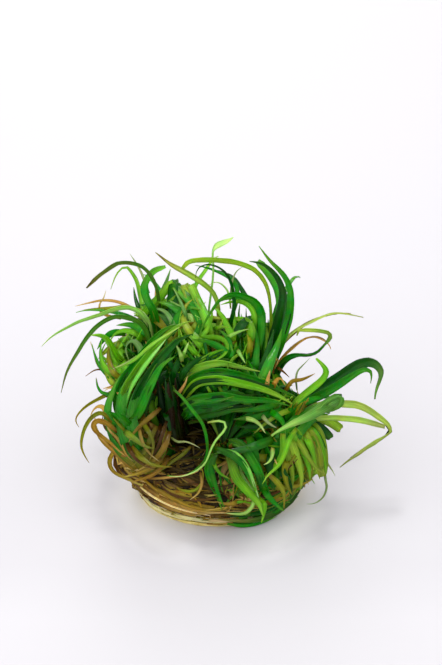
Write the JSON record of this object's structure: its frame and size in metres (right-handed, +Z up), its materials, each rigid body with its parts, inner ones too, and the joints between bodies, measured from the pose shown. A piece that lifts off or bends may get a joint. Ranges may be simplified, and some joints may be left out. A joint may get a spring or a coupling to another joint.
{
  "type": "blyxa plant clump",
  "caption": "Dense clump of a grassy water plant, turned out of its culture cup and standing on its flat round root pad, with long narrow leaves that arch to all sides.",
  "frame": {"origin": "centre of the root pad's flat underside, on the surface that the clump stands on", "axes": "+Z up; -Y towards the side that the picture shows; +X to the right in that view"},
  "size_m": [0.1318, 0.0961, 0.096],
  "materials": {
    "root_pad": "satin",
    "old_leaf_mat": "matte",
    "crown": "satin",
    "green_leaf": "gloss",
    "old_leaf": "satin"
  },
  "bodies": {
    "root": {"root_pad": "root_pad", "old_leaf_mat": "old_leaf_mat", "crown_front_left": "crown", "crown_front": "crown", "crown_low_front": "crown", "crown_right": "crown", "crown_right_top": "crown", "crown_centre": "crown", "crown_left_top": "crown", "crown_back_left": "crown", "crown_back_right": "crown", "leaf_front_left_1": "green_leaf", "leaf_front_left_2": "green_leaf", "leaf_front_left_3": "green_leaf", "leaf_front_left_4": "green_leaf", "leaf_front_1": "green_leaf", "leaf_front_2": "green_leaf", "leaf_front_3": "green_leaf", "leaf_front_4": "green_leaf", "leaf_front_5": "green_leaf", "leaf_front_drooping": "green_leaf", "leaf_left_arch": "green_leaf", "leaf_left_pale": "green_leaf", "leaf_left_top": "green_leaf", "leaf_left_bright": "green_leaf", "leaf_left_curl": "green_leaf", "leaf_left_low": "green_leaf", "leaf_top_middle": "green_leaf", "leaf_top_hook": "green_leaf", "leaf_top_kinked": "green_leaf", "leaf_right_top_1": "green_leaf", "leaf_right_top_2": "green_leaf", "leaf_right_top_3": "green_leaf", "leaf_right_top_4": "green_leaf", "leaf_right_kinked": "green_leaf", "leaf_right_small": "green_leaf", "leaf_right_hook": "green_leaf", "leaf_right_blade": "green_leaf", "leaf_right_long": "green_leaf", "leaf_right_yellow": "green_leaf", "leaf_right_folded": "green_leaf", "leaf_right_hanging": "green_leaf", "leaf_low_front_1": "green_leaf", "leaf_low_front_2": "green_leaf", "leaf_low_front_3": "green_leaf", "leaf_low_right": "green_leaf", "leaf_round_rim": "green_leaf", "leaf_back_left_1": "green_leaf", "leaf_back_left_2": "green_leaf", "leaf_back_left_3": "green_leaf", "leaf_back_right_1": "green_leaf", "leaf_back_right_2": "green_leaf", "leaf_back_right_3": "green_leaf", "old_leaf_left_1": "old_leaf", "old_leaf_left_2": "old_leaf", "old_leaf_left_3": "old_leaf", "old_leaf_left_4": "old_leaf", "old_leaf_back_1": "old_leaf", "old_leaf_back_2": "old_leaf"}
  },
  "joints": []
}
